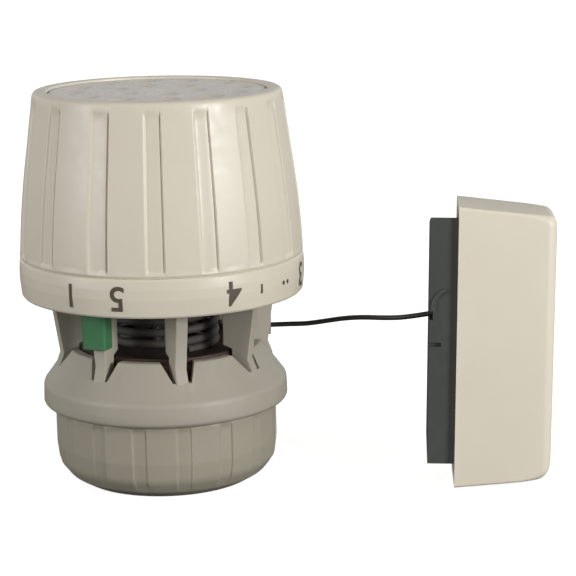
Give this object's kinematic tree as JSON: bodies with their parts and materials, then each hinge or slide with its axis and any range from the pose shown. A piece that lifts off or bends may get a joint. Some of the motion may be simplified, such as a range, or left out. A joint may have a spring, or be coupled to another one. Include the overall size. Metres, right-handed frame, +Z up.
{
  "type": "thermostatic radiator head with remote sensor",
  "caption": "Thermostatic radiator head: ribbed dial with a numbered ring over an open cage and union nut, joined by a thin capillary to a slim wall sensor box.",
  "frame": {"origin": "on the head's axis, at the lower face of the union nut", "axes": "+Z up the head's axis, towards the dial; +X towards the sensor box; -Y is the side seen from the front"},
  "size_m": [0.1097, 0.0586, 0.081],
  "materials": {
    "dial_plastic": "satin moulded, warm off-white",
    "cover_plastic": "satin moulded, warm off-white",
    "cage_plastic": "moulded grey-beige",
    "nut_plastic": "moulded grey, wide shallow flutes",
    "plate_plastic": "moulded dark grey",
    "dark_plastic": "black moulded",
    "green_plastic": "green moulded",
    "red_plastic": "red moulded",
    "black_spring": "blackened spring wire",
    "spring_steel": "bright spring steel",
    "steel": "ground steel",
    "brass": "turned brass",
    "copper_alloy": "dull brown copper alloy",
    "capillary": "dark sleeved capillary tube"
  },
  "bodies": {
    "frame": {"nut_snap_ring": "spring_steel", "cage_base": "cage_plastic", "cage_struts": "cage_plastic", "cage_top_ring": "cage_plastic", "dial_circlip": "spring_steel", "pin_guide_bush": "brass", "bellows_can": "copper_alloy", "bellows_lid": "copper_alloy", "bellows": "brass", "setting_spring": "black_spring", "capillary_lead": "capillary", "capillary_gland": "dark_plastic", "capillary_free": "capillary", "sensor_wall_plate": "plate_plastic", "capillary_inlet": "capillary", "capillary_reserve": "capillary", "sensor_bulb": "copper_alloy", "bulb_clips": "plate_plastic", "bulb_lead": "capillary"},
    "nut": {"union_nut": "nut_plastic"},
    "dial": {"dial_cap": "dial_plastic", "scale_ring": "dial_plastic", "dial_top_disc": "dial_plastic", "dial_web": "dial_plastic", "drive_sleeve": "dial_plastic"},
    "setting": {"setting_nut": "dark_plastic"},
    "pin": {"spindle": "steel", "pressure_foot": "dark_plastic", "bellows_end_plate": "brass"},
    "limiter_green": {"limiter_clip_green": "green_plastic"},
    "limiter_red": {"limiter_clip_red": "red_plastic"},
    "cover": {"sensor_cover": "cover_plastic"}
  },
  "joints": [
    {"name": "dial_turn", "type": "hinge", "parent": "frame", "child": "dial", "pos_m": [0, 0, 0.045], "axis": [0, 0, 1], "range_deg": [-31, 221]},
    {"name": "setting_climb", "type": "slide", "parent": "dial", "child": "setting", "axis": [0, 0, -1], "range_m": [-0.0006, 0.0032], "deforming": ["setting_spring"]},
    {"name": "pin_stroke", "type": "slide", "parent": "frame", "child": "pin", "axis": [0, 0, -1], "range_m": [0, 0.003], "stiffness_N_per_m": 1500, "deforming": ["bellows"]},
    {"name": "nut_turn", "type": "hinge", "parent": "frame", "child": "nut", "pos_m": [0, 0, 0.008], "axis": [0, 0, 1], "continuous": true},
    {"name": "green_clip_pull", "type": "slide", "parent": "frame", "child": "limiter_green", "axis": [-0.3616, -0.9323, 0], "range_m": [0, 0.006]},
    {"name": "red_clip_pull", "type": "slide", "parent": "frame", "child": "limiter_red", "axis": [0.3616, 0.9323, 0], "range_m": [0, 0.006]},
    {"name": "cover_pull", "type": "slide", "parent": "frame", "child": "cover", "axis": [0.9992, -0.0349, -0.0175], "range_m": [0, 0.024]}
  ],
  "couplings": [
    {"joint": "setting_climb", "follows": "dial_turn", "m_per_rad": 0.0008}
  ]
}
